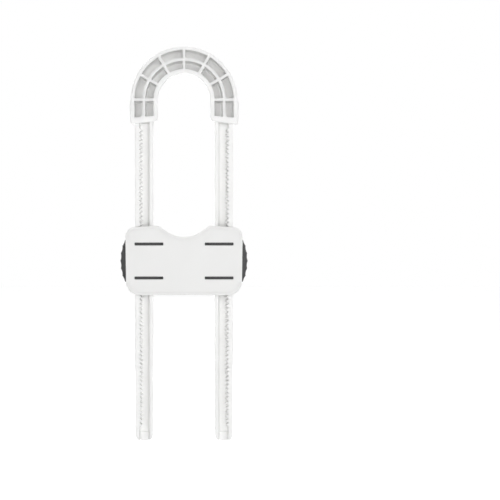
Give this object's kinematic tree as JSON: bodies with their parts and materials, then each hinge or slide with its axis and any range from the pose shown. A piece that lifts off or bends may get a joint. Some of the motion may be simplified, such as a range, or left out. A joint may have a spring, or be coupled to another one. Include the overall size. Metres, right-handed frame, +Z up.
{
  "type": "cabinet safety lock",
  "caption": "U-shaped child-safety lock for a pair of cabinet knobs: a slider runs on two toothed legs and locks until both side buttons are pressed.",
  "frame": {"origin": "centre of the bow's inner arc, in the plane of the bow's open back", "axes": "+Z up the bow, away from the legs' tips; +Y out of the back, towards the cabinet door; the front looks along -Y"},
  "size_m": [0.0696, 0.0163, 0.2156],
  "materials": {
    "white_moulding": "gloss white, injection moulded",
    "cover_moulding": "satin gloss white, injection moulded",
    "button_moulding": "dark grey, fine matt texture",
    "spring_steel": "drawn spring wire"
  },
  "bodies": {
    "shackle": {"shackle": "white_moulding"},
    "slider": {"front_cover": "cover_moulding", "back_cover": "cover_moulding", "left_spring": "spring_steel", "right_spring": "spring_steel"},
    "left_button": {"left_button": "button_moulding"},
    "right_button": {"right_button": "button_moulding"}
  },
  "joints": [
    {"name": "slider_slide", "type": "slide", "parent": "shackle", "child": "slider", "axis": [0, 0, 1], "range_m": [-0.12815, 0.05359]},
    {"name": "left_button_press", "type": "slide", "parent": "slider", "child": "left_button", "axis": [1, 0, 0], "range_m": [0, 0.0024], "stiffness_N_per_m": 1000, "springref_m": -0.003, "deforming": ["left_spring"]},
    {"name": "right_button_press", "type": "slide", "parent": "slider", "child": "right_button", "axis": [-1, 0, 0], "range_m": [0, 0.0024], "stiffness_N_per_m": 1000, "springref_m": -0.003, "deforming": ["right_spring"]}
  ]
}
